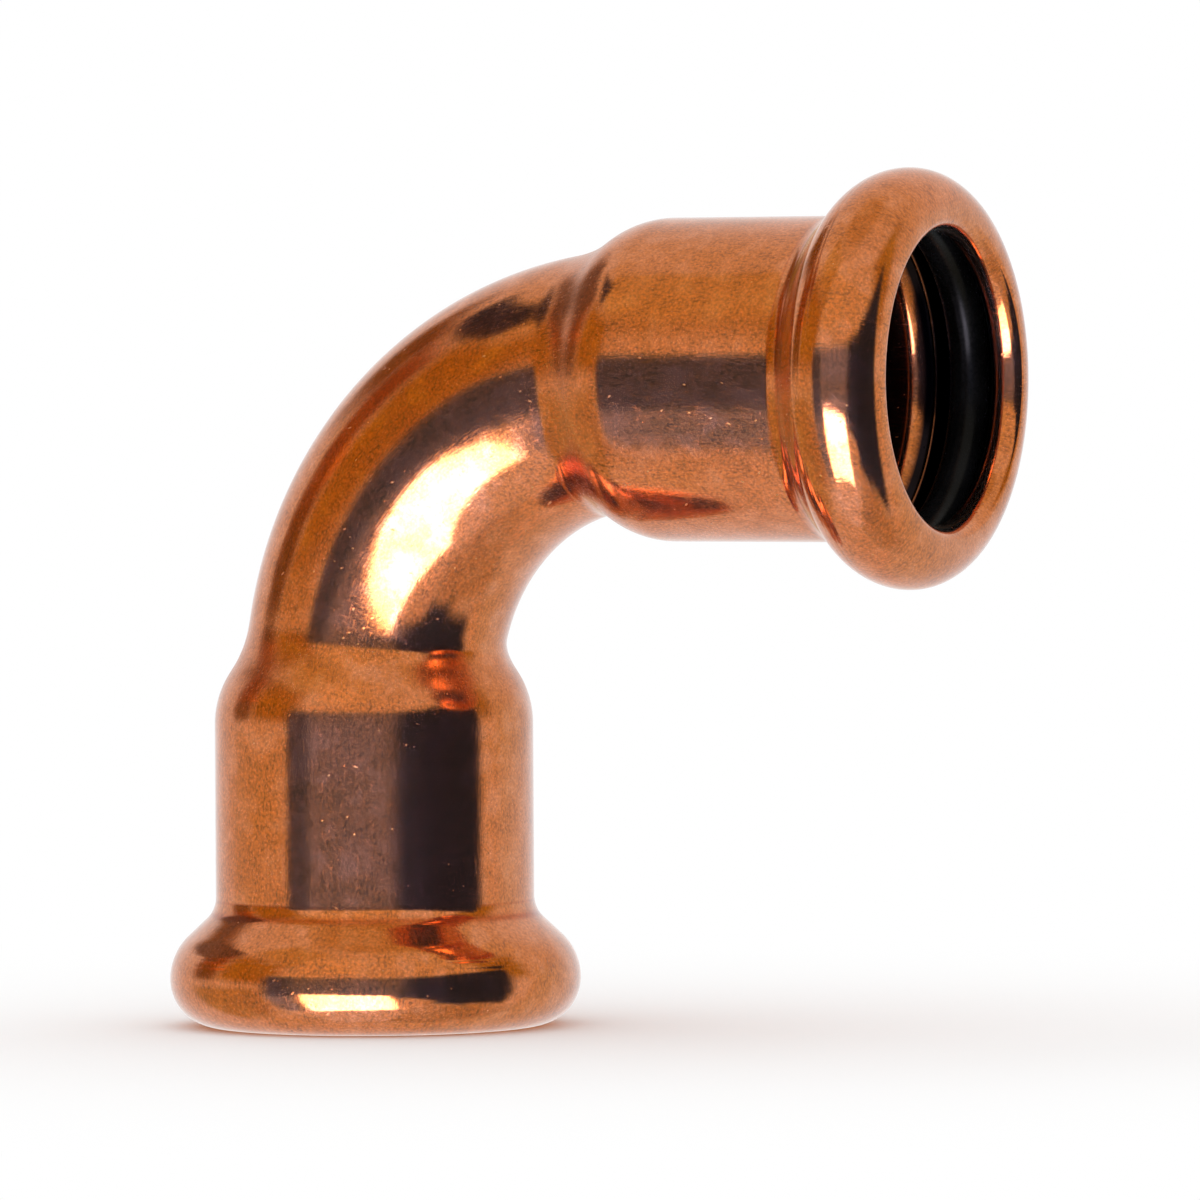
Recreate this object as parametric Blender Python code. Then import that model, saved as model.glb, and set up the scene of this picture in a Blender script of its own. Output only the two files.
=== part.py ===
"""Press fit elbow for copper pipe: a quarter turn with a socket and a seal ring at each end.

Lengths are in metres and +Z is up. The origin is the middle of the lower mouth. The lower
socket runs up +Z, the tube bends over, and the upper socket opens toward +X.

The body is one length of tube. Its wall is drawn as two skins, an outer and an inner one,
each a loft of rings from the lower mouth to the upper mouth, joined round both lips. One half,
from the mouth to the middle of the bend, is worked out. The other half is its mirror image.
"""

from math import acos, cos, radians, sin, tan

import bmesh
import bpy
import numpy as np
from mathutils import Vector

# What goes into the fitting
PIPE_DIAMETER = 0.0220
PIPE_CLEARANCE = 0.00015
WALL = 0.00125

# Seal ring, and the room that it has round it
SEAL_SECTION = 0.0031
SEAL_CLEARANCE = 0.0002
SEAT_GAP = 0.0003
SEAT_LEAN = radians(39.5)

# Bead at the mouth, which holds the seal ring. Forming it stretches its wall thinner
BEAD_WALL = 0.0010
MOUTH_ARC_SLACK = 0.00085
FLANK_ARC_SLACK = 0.00175
FLANK_ANGLE = radians(47.0)
FLANK_FILLET = 0.0024
SOCKET_CORNER = 0.0020

# Lip, the cut end of the tube, which is turned in toward the pipe and back into the groove
LIP_CLEARANCE = 0.00045
LIP_TURN = 0.00085
LIP_ROUNDING = 0.0004
MOST_OF_FACE_ROUNDED = 0.7
MOST_OF_LIP_ROUNDED = 0.45

# Socket, and the shoulder that stops the pipe
SOCKET_DEPTH = 0.0235
SHOULDER_ARC = 0.0074
SHOULDER_ANGLE = radians(36.0)
SHOULDER_FILLET = 0.0054
STOP_STEP = 0.00225

# Bend
BEND_ANGLE = radians(90.0)
BEND_RADIUS = 0.0239
STRAIGHT_RUN = 0.0028

# Facets
SIDES = 44
MOUTH_ARC_STEPS = 5
FLANK_ARC_STEPS = 4
FILLET_STEPS = 3
LIP_STEPS = 2
SHOULDER_STEPS = 6
BEND_STEPS = 5
SEAL_SIDES = 10
BLEND_PASSES = 8
SHARP_ANGLE = radians(35.0)

# Sizes that follow from the ones above
PIPE_RADIUS = PIPE_DIAMETER / 2
SOCKET_RADIUS = PIPE_RADIUS + PIPE_CLEARANCE + WALL
TUBE_RADIUS = PIPE_RADIUS - STOP_STEP + WALL
SEAL_INNER_RADIUS = PIPE_RADIUS + SEAL_CLEARANCE
SEAL_CENTRE_RADIUS = SEAL_INNER_RADIUS + SEAL_SECTION / 2
GROOVE_ROOM = SEAL_SECTION / 2 + SEAT_GAP
MOUTH_ARC = GROOVE_ROOM + MOUTH_ARC_SLACK + BEAD_WALL
FLANK_ARC = GROOVE_ROOM + FLANK_ARC_SLACK + BEAD_WALL
CROWN_RADIUS = SEAL_CENTRE_RADIUS - FLANK_ARC_SLACK * cos(SEAT_LEAN) + FLANK_ARC
SEAL_DEPTH = MOUTH_ARC + FLANK_ARC_SLACK * sin(SEAT_LEAN)
LIP_BORE = PIPE_RADIUS + LIP_CLEARANCE
LIP_DEPTH = BEAD_WALL + LIP_TURN
STRAIGHT_LENGTH = SOCKET_DEPTH + STRAIGHT_RUN
HALF_BEND = BEND_RADIUS * BEND_ANGLE / 2

QUARTER = radians(90.0)
ANGLES = np.linspace(0.0, 4.0 * QUARTER, SIDES, endpoint=False)


def clear_scene():
    """Remove every object, so that the model starts from nothing."""
    for old in list(bpy.data.objects):
        bpy.data.objects.remove(old, do_unlink=True)


def make_material(name, colour, roughness, metallic):
    """A plain Principled material."""
    material = bpy.data.materials.new(name)
    material.use_nodes = True
    shader = material.node_tree.nodes["Principled BSDF"]
    shader.inputs["Base Color"].default_value = (*colour, 1.0)
    shader.inputs["Roughness"].default_value = roughness
    shader.inputs["Metallic"].default_value = metallic
    material.diffuse_color = (*colour, 1.0)
    return material


def arc(centre_depth, centre_radius, size, start, end, steps):
    """Points of an arc in the section, as depth behind the mouth and radius from the axis.

    The angle is 0 where the arc is farthest from the axis, and grows with depth.
    """
    points = []
    for angle in np.linspace(start, end, steps + 1):
        depth = centre_depth + size * sin(angle)
        radius = centre_radius + size * cos(angle)
        points.append((depth, radius))
    return points


def flank_angle():
    """Slope of the bead's flank, less steep where its two arcs already meet."""
    drop = CROWN_RADIUS - SOCKET_RADIUS
    meet = acos(max(0.0, 1.0 - drop / (FLANK_ARC + FLANK_FILLET)))
    return min(FLANK_ANGLE, meet)


def bead_section(wall, barrel_radius, hollow):
    """Section of one skin of the bead, from the mouth to the barrel.

    An arc from the mouth up to the crown, an arc down onto the flank, the straight flank, and a
    hollow arc into the barrel. The wall is how deep this skin lies under the outside.
    """
    slope = flank_angle()
    mouth = arc(MOUTH_ARC, CROWN_RADIUS - MOUTH_ARC, MOUTH_ARC - wall, -QUARTER, 0.0, MOUTH_ARC_STEPS)
    flank = arc(MOUTH_ARC, CROWN_RADIUS - FLANK_ARC, FLANK_ARC - wall, 0.0, slope, FLANK_ARC_STEPS)
    flank_end, flank_radius = flank[-1]
    drop = flank_radius - barrel_radius - hollow * (1.0 - cos(slope))
    barrel_start = flank_end + drop / tan(slope) + hollow * sin(slope)
    fillet = arc(barrel_start, barrel_radius + hollow, -hollow, slope, 0.0, FILLET_STEPS)
    return mouth + flank[1:] + fillet


def lip_section():
    """Rounded end of the rolled-in wall, from its front face to its face inside the groove."""
    face = CROWN_RADIUS - MOUTH_ARC - LIP_BORE
    rounding = min(LIP_ROUNDING, MOST_OF_LIP_ROUNDED * LIP_DEPTH, MOST_OF_FACE_ROUNDED * face)
    middle = LIP_BORE + rounding
    front = arc(rounding, middle, rounding, -QUARTER, -2.0 * QUARTER, LIP_STEPS)
    back = arc(LIP_DEPTH - rounding, middle, rounding, 2.0 * QUARTER, QUARTER, LIP_STEPS)
    return front + back


def shoulder_radius(depth, offset):
    """Radius of the widened end where it narrows past the barrel: an arc, then a cone."""
    size = SHOULDER_ARC - offset
    past_barrel = np.maximum(depth - SOCKET_DEPTH, 0.0)
    on_arc = np.minimum(past_barrel, size * sin(SHOULDER_ANGLE))
    on_cone = past_barrel - on_arc
    drop = size - np.sqrt(size * size - on_arc * on_arc)
    return SOCKET_RADIUS - offset - drop - on_cone * tan(SHOULDER_ANGLE)


def blended_larger(first, second, blend):
    """The larger of two sizes, rounded off where they differ by less than the blend."""
    near = np.maximum(blend - np.abs(first - second), 0.0)
    return np.maximum(first, second) + near * near / (4.0 * blend)


def axis_ring(depth, radius):
    """A ring square to the socket's axis."""
    flat = np.full(SIDES, depth)
    return np.stack([radius * np.cos(ANGLES), radius * np.sin(ANGLES), flat], axis=1)


def tube_ring(run, offset):
    """A ring square to the tube's centreline, a given run from the mouth.

    The widened end is turned about the socket's own axis, also where the tube already bends
    away from it. So a ring reaches out to whichever is farther, the tube or the shoulder, with
    a fillet between them. The reach to the shoulder is found by stepping toward it.
    """
    turn = max(run - STRAIGHT_LENGTH, 0.0) / BEND_RADIUS
    centre_x = BEND_RADIUS * (1.0 - cos(turn))
    centre_z = min(run, STRAIGHT_LENGTH) + BEND_RADIUS * sin(turn)
    tube = TUBE_RADIUS - offset
    reach = np.full(SIDES, tube)
    for _ in range(BLEND_PASSES):
        x = centre_x + reach * np.cos(ANGLES) * cos(turn)
        y = reach * np.sin(ANGLES)
        z = centre_z - reach * np.cos(ANGLES) * sin(turn)
        reach = reach + shoulder_radius(z, offset) - np.hypot(x, y)
        reach = np.clip(reach, 0.0, SOCKET_RADIUS)
    blend = (SHOULDER_FILLET + offset) * tan(SHOULDER_ANGLE) * tan(SHOULDER_ANGLE / 2)
    reach = blended_larger(reach, tube, blend)
    x = centre_x + reach * np.cos(ANGLES) * cos(turn)
    y = reach * np.sin(ANGLES)
    z = centre_z - reach * np.cos(ANGLES) * sin(turn)
    return np.stack([x, y, z], axis=1)


def tube_runs():
    """Where the rings stand past the barrel: close together on the shoulder, wider on the bend."""
    end = STRAIGHT_LENGTH + HALF_BEND
    shoulder_end = SOCKET_DEPTH + SHOULDER_ARC + STRAIGHT_RUN / 2
    shoulder_end = min(shoulder_end, (SOCKET_DEPTH + end) / 2)
    shoulder = np.linspace(SOCKET_DEPTH, shoulder_end, SHOULDER_STEPS + 1)
    bend = np.linspace(shoulder_end, end, BEND_STEPS + 1)
    return list(shoulder) + list(bend[1:])


def half_skin(section, offset):
    """Rings of one skin from the mouth to the middle of the bend."""
    rings = [axis_ring(depth, radius) for depth, radius in section]
    rings += [tube_ring(run, offset) for run in tube_runs()]
    return rings


def mirrored(points):
    """Points reflected across the plane that halves the bend."""
    centre = np.array([BEND_RADIUS, 0.0, STRAIGHT_LENGTH])
    along = np.array([sin(BEND_ANGLE / 2), 0.0, cos(BEND_ANGLE / 2)])
    return points - 2.0 * np.outer((points - centre) @ along, along)


def whole_skin(rings):
    """A half skin and its mirror image, from the lower mouth to the upper mouth."""
    return rings + [mirrored(ring) for ring in reversed(rings[:-1])]


def loft(name, rings):
    """A closed body whose rings follow one another in a loop, each joined to the next."""
    mesh = bpy.data.meshes.new(name)
    body = bmesh.new()
    loops = [[body.verts.new(Vector(point)) for point in ring] for ring in rings]
    for here, beyond in zip(loops, loops[1:] + loops[:1]):
        count = len(here)
        for i in range(count):
            j = (i + 1) % count
            body.faces.new((here[i], here[j], beyond[j], beyond[i]))
    body.to_mesh(mesh)
    body.free()
    mesh.shade_smooth()
    mesh.set_sharp_from_angle(angle=SHARP_ANGLE)
    return mesh


def elbow_mesh():
    """The tube: outer skin up to the upper mouth, round its lip, and back down the inside."""
    outer_section = bead_section(0.0, SOCKET_RADIUS, FLANK_FILLET)
    inner_section = lip_section() + bead_section(BEAD_WALL, SOCKET_RADIUS - WALL, SOCKET_CORNER)
    outer = whole_skin(half_skin(outer_section, 0.0))
    inner = whole_skin(half_skin(inner_section, WALL))
    return loft("elbow_body", outer + inner[::-1])


def seal_mesh():
    """A ring of round section about its own Z axis, centred on the origin."""
    rings = []
    for turn in np.linspace(0.0, 4.0 * QUARTER, SEAL_SIDES, endpoint=False):
        depth = SEAL_SECTION / 2 * sin(turn)
        radius = SEAL_CENTRE_RADIUS + SEAL_SECTION / 2 * cos(turn)
        rings.append(axis_ring(depth, radius))
    return loft("seal_ring", rings)


def place(name, mesh, material, parent, location=(0.0, 0.0, 0.0), turn=0.0):
    """An object that shows a mesh, turned about Y and moved to its place under a parent."""
    if not mesh.materials:
        mesh.materials.append(material)
    item = bpy.data.objects.new(name, mesh)
    bpy.context.scene.collection.objects.link(item)
    item.parent = parent
    item.location = location
    item.rotation_euler = (0.0, turn, 0.0)
    return item


def build():
    """Model the elbow and its two seal rings under one empty at the lower mouth."""
    clear_scene()
    copper = make_material("copper", (0.72, 0.33, 0.16), 0.22, 1.0)
    rubber = make_material("seal_rubber", (0.012, 0.012, 0.013), 0.45, 0.0)

    elbow = bpy.data.objects.new("press_elbow", None)
    elbow.empty_display_size = SOCKET_RADIUS
    bpy.context.scene.collection.objects.link(elbow)

    place("elbow_body", elbow_mesh(), copper, elbow)

    ring = seal_mesh()
    lower = np.array([[0.0, 0.0, SEAL_DEPTH]])
    upper = mirrored(lower)
    place("seal_ring_lower", ring, rubber, elbow, tuple(lower[0]))
    place("seal_ring_upper", ring, rubber, elbow, tuple(upper[0]), BEND_ANGLE)


build()
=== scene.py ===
"""Looks of a copper press fit elbow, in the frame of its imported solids.

Lengths are in metres and +Z is up. The lower mouth stands on z = 0 about the Z axis, and the
upper socket opens toward +X. Two sub-assemblies are made here, each a class: the bent tube with
its widened ends, and the pair of seal rings. A studio class lights them and a view class looks
at them from where the photograph was taken.
"""

import logging
from dataclasses import dataclass
from enum import Enum
from math import cos, pi, radians, sin, tan

import bpy
import numpy as np
from mathutils import Matrix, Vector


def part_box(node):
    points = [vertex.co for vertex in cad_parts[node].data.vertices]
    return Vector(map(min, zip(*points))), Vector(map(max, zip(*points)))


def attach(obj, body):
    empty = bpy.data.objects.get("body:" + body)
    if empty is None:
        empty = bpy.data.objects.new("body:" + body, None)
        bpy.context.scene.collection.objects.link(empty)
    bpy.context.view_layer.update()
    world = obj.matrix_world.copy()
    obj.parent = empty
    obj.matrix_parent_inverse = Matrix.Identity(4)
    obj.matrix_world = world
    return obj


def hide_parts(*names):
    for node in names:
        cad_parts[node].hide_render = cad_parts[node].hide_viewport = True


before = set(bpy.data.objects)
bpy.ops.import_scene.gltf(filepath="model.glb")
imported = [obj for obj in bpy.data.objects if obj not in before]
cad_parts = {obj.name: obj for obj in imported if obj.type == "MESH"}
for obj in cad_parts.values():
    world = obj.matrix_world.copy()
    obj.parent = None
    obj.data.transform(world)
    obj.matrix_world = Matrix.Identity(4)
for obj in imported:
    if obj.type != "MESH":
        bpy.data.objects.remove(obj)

LOG = logging.getLogger("press_elbow")
MILLIMETRE = 0.001
MICROMETRE = 0.000001
TWICE_MIRRORED = (1.35, 1.9, 2.2)
SECOND_BOUNCE = 1.5
FIRST_SCATTER = 0.5
WINDOW_EDGE = 1.0 * MILLIMETRE

Number = "float | Signal"


class Slot(Enum):
    """Material slots of the record."""

    COPPER = "copper"
    RUBBER = "seal_rubber"


class End(Enum):
    """Ends of the elbow that a ring can sit in."""

    LOWER = "lower"
    UPPER = "upper"


# Shader maths


class Signal:
    """A number on an output socket. Sums, differences, products and quotients add Math nodes."""

    def __init__(self, board: "Board", socket: bpy.types.NodeSocket) -> None:
        """Keep the socket and the board that its node is on."""
        self.board = board
        self.socket = socket

    def __add__(self, other: Number) -> "Signal":
        """This plus another."""
        return self.board.math("ADD", self, other)

    def __sub__(self, other: Number) -> "Signal":
        """This less another."""
        return self.board.math("SUBTRACT", self, other)

    def __rsub__(self, other: Number) -> "Signal":
        """Another less this."""
        return self.board.math("SUBTRACT", other, self)

    def __mul__(self, other: Number) -> "Signal":
        """This times another."""
        return self.board.math("MULTIPLY", self, other)

    __radd__ = __add__
    __rmul__ = __mul__

    def step(self, start: float, end: float) -> "Signal":
        """A smooth step: 0 up to start and 1 from end, or the reverse where end is less.

        Args:
            start: where the step starts.
            end: where it ends.

        Returns:
            The step.
        """
        settings = {"interpolation_type": "SMOOTHSTEP"}
        low, high = min(start, end), max(start, end)
        values = {"Value": self, "From Min": low, "From Max": high}
        node = self.board.node("ShaderNodeMapRange", settings, values)
        rise = Signal(self.board, node.outputs["Result"])
        return rise if end >= start else 1.0 - rise


class Board:
    """A node tree, and short ways to add nodes to it."""

    def __init__(self, tree: bpy.types.NodeTree) -> None:
        """Empty a node tree and keep it."""
        self.tree = tree
        tree.nodes.clear()

    def node(self, kind: str, settings: dict | None = None, values: dict | None = None) -> bpy.types.Node:
        """Add a node.

        Args:
            kind: the node's type.
            settings: its properties, which are set first.
            values: for each input socket, by name or number, a constant, a Signal or a socket.

        Returns:
            The new node.
        """
        made = self.tree.nodes.new(kind)
        for name, value in (settings or {}).items():
            setattr(made, name, value)
        for name, value in (values or {}).items():
            if isinstance(value, Signal):
                self.tree.links.new(value.socket, made.inputs[name])
            elif isinstance(value, bpy.types.NodeSocket):
                self.tree.links.new(value, made.inputs[name])
            else:
                made.inputs[name].default_value = value
        return made

    def math(self, operation: str, *numbers: Number) -> Signal:
        """The result of a Math node on one, two or three numbers."""
        made = self.node("ShaderNodeMath", {"operation": operation}, dict(enumerate(numbers)))
        return Signal(self, made.outputs[0])

    def attribute(self, name: str) -> Signal:
        """A number that the mesh holds at each of its points."""
        return Signal(self, self.node("ShaderNodeAttribute", {"attribute_name": name}).outputs["Fac"])

    def flow(self) -> bpy.types.NodeSocket:
        """The place on the tube as if it were straight, which the mesh holds."""
        return self.node("ShaderNodeAttribute", {"attribute_name": "flow"}).outputs["Vector"]

    def place(self) -> bpy.types.NodeSocket:
        """The place in the object's own coordinates."""
        return self.node("ShaderNodeTexCoord").outputs["Object"]

    def turned(self, vector: bpy.types.NodeSocket, turn: tuple, stretch: tuple) -> bpy.types.NodeSocket:
        """Coordinates in which a pattern is stretched along each axis and then turned."""
        values = {"Vector": vector, "Rotation": turn, "Scale": stretch}
        return self.node("ShaderNodeMapping", {"vector_type": "TEXTURE"}, values).outputs[0]

    def noise(
        self, place: bpy.types.NodeSocket, size: float, detail: float = 2.0, roughness: float = 0.5
    ) -> Signal:
        """Noise from 0 to 1.

        Args:
            place: the coordinates.
            size: how far apart its blobs are, in metres.
            detail: how many finer layers it has.
            roughness: how strong each finer layer is.

        Returns:
            The noise, 0.5 in its middle.
        """
        values = {"Vector": place, "Scale": 1.0 / size, "Detail": detail, "Roughness": roughness}
        return Signal(self, self.node("ShaderNodeTexNoise", None, values).outputs[0])

    def dots(self, place: bpy.types.NodeSocket, spacing: float, radius: float, share: float) -> Signal:
        """1 in the middle of scattered dots.

        Args:
            place: the coordinates.
            spacing: how far apart the dots could be, in metres.
            radius: each dot's radius, in metres.
            share: the share of the dots that is kept.

        Returns:
            The dots, fading to 0 at their edge.
        """
        cells = self.node("ShaderNodeTexVoronoi", None, {"Vector": place, "Scale": 1.0 / spacing})
        chosen = self.node("ShaderNodeSeparateColor", None, {"Color": cells.outputs["Color"]})
        kept = self.math("LESS_THAN", Signal(self, chosen.outputs[0]), share)
        return Signal(self, cells.outputs["Distance"]).step(radius / spacing, 0.0) * kept

    def colours(self, factor: Number, first: object, second: object) -> bpy.types.NodeSocket:
        """The first colour where the factor is 0, and the second where it is 1.

        Args:
            factor: how much of the second.
            first: a colour or its socket.
            second: another.

        Returns:
            The mixed colour.
        """
        settings = {"data_type": "RGBA"}
        values = {"Factor": factor, 6: first, 7: second}
        return self.node("ShaderNodeMix", settings, values).outputs[2]

    def shaded(self, colour: bpy.types.NodeSocket, level: Signal) -> bpy.types.NodeSocket:
        """A colour times a level."""
        values = {0: colour, "Scale": level}
        return self.node("ShaderNodeVectorMath", {"operation": "SCALE"}, values).outputs[0]

    def bump(self, height: Signal) -> bpy.types.NodeSocket:
        """The normal of a surface with a height, in metres."""
        values = {"Height": height, "Distance": 1.0, "Strength": 1.0}
        return self.node("ShaderNodeBump", None, values).outputs[0]

    def twice_mirrored(self, path: bpy.types.Node) -> Signal:
        """1 for light that has been mirrored before it comes here from its last mirror."""
        return self.math("GREATER_THAN", Signal(self, path.outputs["Glossy Depth"]), SECOND_BOUNCE)

    def mixed(self, factor: Signal, first: bpy.types.Node, second: bpy.types.Node) -> bpy.types.Node:
        """The first shader where the factor is 0, and the second where it is 1."""
        values = {0: factor, 1: first.outputs[0], 2: second.outputs[0]}
        return self.node("ShaderNodeMixShader", None, values)

    def surface(self, shader: bpy.types.Node, output: str = "ShaderNodeOutputMaterial") -> None:
        """Show a shader as the surface of a material, or as the world."""
        self.node(output, None, {"Surface": shader.outputs[0]})


def new_material(name: str) -> tuple[bpy.types.Material, Board]:
    """A material with an empty node tree.

    Args:
        name: its name.

    Returns:
        The material, and the board to fill its tree.
    """
    material = bpy.data.materials.new(name)
    material.use_nodes = True
    return material, Board(material.node_tree)


# Meshes


def add_object(name: str, points: np.ndarray, faces: np.ndarray, numbers: dict) -> bpy.types.Object:
    """A smooth mesh, linked to the scene, with numbers or vectors held at its points.

    Args:
        name: the object's name.
        points: places, in an array of any shape whose last axis is x, y and z.
        faces: the corners of each face, as rows of point numbers.
        numbers: for each attribute's name, one number or one vector for each point.

    Returns:
        The object.
    """
    mesh = bpy.data.meshes.new(name)
    mesh.from_pydata(points.reshape(-1, 3), [], faces)
    mesh.shade_smooth()
    for title, values in numbers.items():
        is_vector = values.shape == points.shape
        held = mesh.attributes.new(title, "FLOAT_VECTOR" if is_vector else "FLOAT", "POINT")
        held.data.foreach_set("vector" if is_vector else "value", values.astype(np.float32).ravel())
    item = bpy.data.objects.new(name, mesh)
    bpy.context.scene.collection.objects.link(item)
    return item


def grid_faces(rows: int, columns: int, closed: bool) -> np.ndarray:
    """Faces of a grid, with corners (i, j), (i, j + 1), (i + 1, j + 1) and (i + 1, j).

    A closed grid also joins its last row to its first, and its last column to its first.

    Args:
        rows: points along the first side.
        columns: points along the second.
        closed: whether both sides close on themselves.

    Returns:
        The corners of each face.
    """
    reach = (rows, columns) if closed else (rows - 1, columns - 1)
    i, j = np.meshgrid(np.arange(reach[0]), np.arange(reach[1]), indexing="ij")
    beyond, beside = (i + 1) % rows, (j + 1) % columns
    corners = [i * columns + j, i * columns + beside, beyond * columns + beside, beyond * columns + j]
    return np.stack(corners, axis=-1).reshape(-1, 4)


def arc(centre: tuple, size: float, start: float, end: float, steps: int) -> np.ndarray:
    """Points of an arc in a section, as depth behind the mouth and radius from the axis.

    Depth is the centre's plus size times the sine of an angle that is 0 where the arc is
    farthest from the axis, and radius is the centre's plus size times its cosine.

    Args:
        centre: its depth and its radius.
        size: the radius of the arc.
        start: the angle at its first point.
        end: the angle at its last.
        steps: how many parts it has.

    Returns:
        Depth and radius, one row for each point.
    """
    angle = np.linspace(start, end, steps + 1)
    return np.stack([centre[0] + size * np.sin(angle), centre[1] + size * np.cos(angle)], axis=1)


def lengths(points: np.ndarray) -> np.ndarray:
    """How far along a line each of its points is.

    Args:
        points: one row for each point.

    Returns:
        A length for each point.
    """
    steps = np.linalg.norm(np.diff(points, axis=0), axis=1)
    return np.concatenate([[0.0], np.cumsum(steps)])


def smooth(values: np.ndarray, start: float, end: float) -> np.ndarray:
    """A smooth step: t times t times (3 less 2 t), where t goes from 0 at start to 1 at end.

    Args:
        values: any numbers.
        start: where it is 0.
        end: where it is 1.

    Returns:
        The step at each value.
    """
    t = np.clip((values - start) / (end - start), 0.0, 1.0)
    return t * t * (3.0 - 2.0 * t)


# Finishes


@dataclass(frozen=True)
class CopperFinish:
    """Bare formed copper: bright, lightly tarnished, drawn along its length, nicked and pitted.

    Its colour drifts between three shades, with brown dashes along the tube. Inside the sockets
    it is darker, and it is black in the grooves and deep in the tube: painted shade in these
    hollows. An amber band in the crease where each bead meets its barrel is a painted reflection
    of copper in copper. A thin rough coat stands for the haze of tarnish. It is duller along its
    streaks, in its nicks and on the shoulder.
    """

    bright: tuple = (0.550, 0.168, 0.050, 1.0)
    gold: tuple = (0.520, 0.150, 0.032, 1.0)
    tan: tuple = (0.550, 0.198, 0.085, 1.0)
    # the brown of the dashes and pits, a real stain
    stain_and_reflection: tuple = (0.190, 0.055, 0.022, 1.0)
    # colour of the painted reflection, copper mirrored in copper, in the crease where each bead meets its
    # barrel
    painted_reflection_amber: tuple = (0.360, 0.062, 0.006, 1.0)
    # colour of the painted shade: black in the grooves and deep in the tube
    painted_shade: tuple = (0.010, 0.007, 0.008, 1.0)
    cloud: float = 9.0 * MILLIMETRE
    patch: float = 2.4 * MILLIMETRE
    patch_range: float = 0.35
    cloud_edges: tuple = (0.38, 0.62)
    tan_edges: tuple = (0.45, 0.70)
    tan_share: float = 0.7
    mottle: float = 0.22 * MILLIMETRE
    mottle_range: float = 1.2
    dash_length: float = 0.5 * MILLIMETRE
    dash_width: float = 0.15 * MILLIMETRE
    dash_strength: float = 0.50
    dash_edges: tuple = (0.50, 0.66)
    dash_patch_edges: tuple = (0.62, 0.38)
    roughness: float = 0.09
    roughness_range: float = 0.08
    streak_length: float = 1.3 * MILLIMETRE
    streak_width: float = 0.16 * MILLIMETRE
    streak_roughness: float = 0.10
    streak_edges: tuple = (0.5, 0.75)
    streak_height: float = 3.6 * MICROMETRE
    grain_height: float = 2.0 * MICROMETRE
    ripple: float = 3.0 * MILLIMETRE
    ripple_height: float = 12.0 * MICROMETRE
    nick_turns: tuple = ((0.4, 0.9, 0.0), (1.3, 0.3, 1.1), (0.2, 1.9, 0.6))
    nick_spacing: float = 0.9 * MILLIMETRE
    nick_radius: float = 0.12 * MILLIMETRE
    nick_stretch: float = 3.0
    nick_share: float = 0.25
    nick_height: float = 7.0 * MICROMETRE
    nick_roughness: float = 0.35
    rubbed_roughness: float = 0.13
    haze: float = 0.25
    haze_roughness: float = 0.55
    rub_length: float = 0.9 * MILLIMETRE
    rub_width: float = 0.13 * MILLIMETRE
    rub_roughness: float = 0.08
    rub_edges: tuple = (0.58, 0.72)
    pit_spacing: float = 0.9 * MILLIMETRE
    pit_radius: float = 0.09 * MILLIMETRE
    pit_share: float = 0.25
    pit_height: float = 12.0 * MICROMETRE
    pit_stain: float = 0.7
    inner_roughness: float = 0.03
    # painted shade inside the sockets
    inner_painted_shade: float = 0.85

    def nicks(self, board: Board) -> Signal:
        """1 in the middle of a nick. Nicks are dots drawn out along three slanted directions.

        Args:
            board: the board to draw on.

        Returns:
            The nicks.
        """
        total = 0.0
        stretch = (1.0, 1.0, self.nick_stretch)
        for turn in self.nick_turns:
            slanted = board.turned(board.place(), turn, stretch)
            total = board.dots(slanted, self.nick_spacing, self.nick_radius, self.nick_share) + total
        return total

    def pits(self, board: Board) -> Signal:
        """1 in the middle of a pit."""
        return board.dots(board.place(), self.pit_spacing, self.pit_radius, self.pit_share)

    def drawn(self, board: Board, length: float, width: float) -> Signal:
        """Noise drawn out along the tube to a length and a width."""
        stretched = board.turned(board.flow(), (0.0, 0.0, 0.0), (1.0, 1.0, length / width))
        return board.noise(stretched, width, 2.0, 0.6)

    def height(self, board: Board, streaks: Signal, grain: Signal, nicks: Signal) -> Signal:
        """Height of the surface: ripples, streaks and grain, less the nicks and pits.

        Args:
            board: the board to draw on.
            streaks: noise along the tube.
            grain: the finest noise.
            nicks: 1 in each nick.

        Returns:
            The height, in metres.
        """
        ripple = board.noise(board.place(), self.ripple, 1.0)
        raised = streaks * self.streak_height + grain * self.grain_height + ripple * self.ripple_height
        return raised - nicks * self.nick_height - self.pits(board) * self.pit_height

    def colour(self, board: Board, patch: Signal, grain: Signal, inside: Signal) -> bpy.types.NodeSocket:
        """The three shades in clouds, mottled, then dashes, pits, the painted amber reflection in the crease
        and the painted black shade over them.

        Args:
            board: the board to draw on.
            patch: noise a few millimetres across.
            grain: the finest noise.
            inside: 1 within the sockets.

        Returns:
            The colour.
        """
        cloud = board.noise(board.place(), self.cloud, 2.0)
        colour = board.colours(cloud.step(*self.cloud_edges), self.bright, self.gold)
        colour = board.colours(patch.step(*self.tan_edges) * self.tan_share, colour, self.tan)
        dashes = self.drawn(board, self.dash_length, self.dash_width).step(*self.dash_edges)
        browned = dashes * patch.step(*self.dash_patch_edges) * self.dash_strength
        colour = board.colours(browned, colour, self.stain_and_reflection)
        colour = board.colours(self.pits(board) * self.pit_stain, colour, self.stain_and_reflection)
        # painted reflection: amber in the crease where each bead meets its barrel, where copper mirrors
        # copper
        colour = board.colours(board.attribute("stain_and_reflection"), colour, self.painted_reflection_amber)
        level = (grain - 0.5) * self.mottle_range + (patch - 0.5) * self.patch_range
        # painted shade: darker inside the sockets
        colour = board.shaded(colour, level + (1.0 - inside * (1.0 - self.inner_painted_shade)))
        # painted shade: the grooves and the deep tube are painted near black
        return board.colours(board.attribute("painted_shade"), colour, self.painted_shade)

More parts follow.
